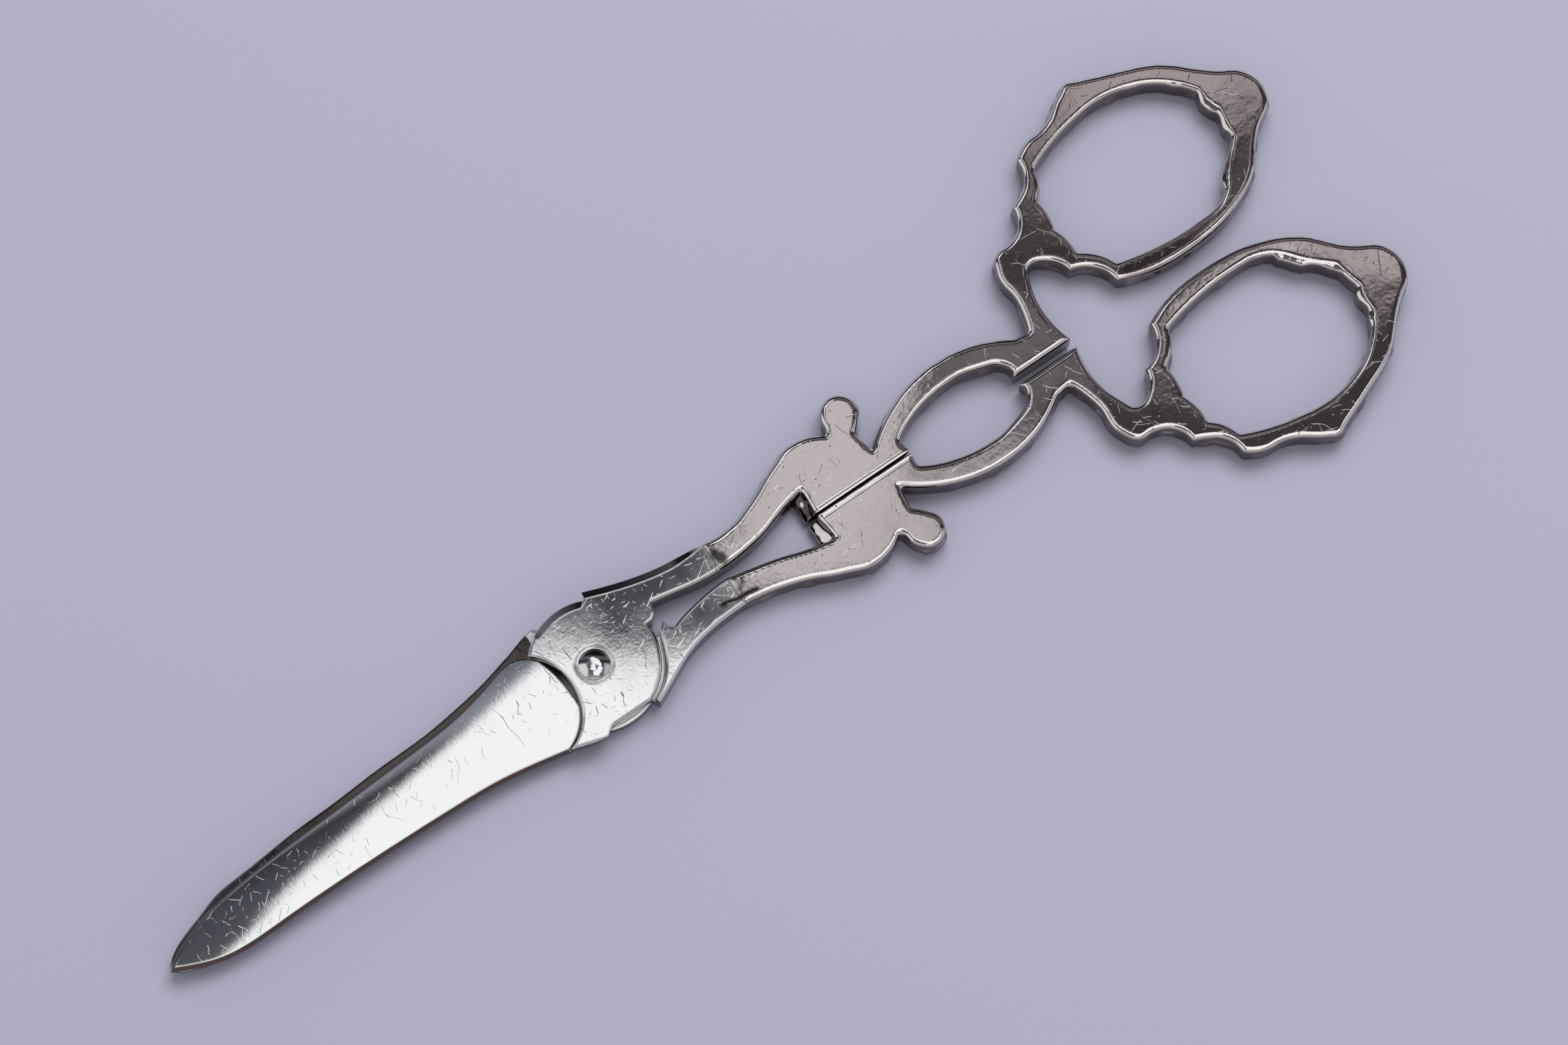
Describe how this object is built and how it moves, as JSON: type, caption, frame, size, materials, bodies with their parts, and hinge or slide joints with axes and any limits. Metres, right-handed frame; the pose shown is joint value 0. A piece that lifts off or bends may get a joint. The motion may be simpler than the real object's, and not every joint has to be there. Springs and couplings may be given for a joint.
{
  "type": "grape shears",
  "caption": "Table shears for cutting grapes: crossed halves with scrolled bow handles and short blades, turning on one rivet.",
  "frame": {"origin": "on the pivot axis, in the plane of the ornamented front that the shears lie on", "axes": "+X along the closed shears from the pivot towards the bows, +Z along the pivot axis towards the plain back, +Y towards the thumb bow"},
  "size_m": [0.1799, 0.0592, 0.0042],
  "materials": {
    "cast_silver": "worn silver, softly polished, slightly tarnished",
    "forged_silver": "worn silver, polished, finely scratched"
  },
  "bodies": {
    "finger_half": {"finger_handle": "cast_silver", "finger_blade": "forged_silver", "pivot_rivet": "forged_silver"},
    "thumb_half": {"thumb_handle": "cast_silver", "thumb_blade": "forged_silver"}
  },
  "joints": [
    {"name": "pivot", "type": "hinge", "parent": "finger_half", "child": "thumb_half", "pos_m": [0, 0, 0], "axis": [0, 0, 1], "range_deg": [0, 45]}
  ]
}
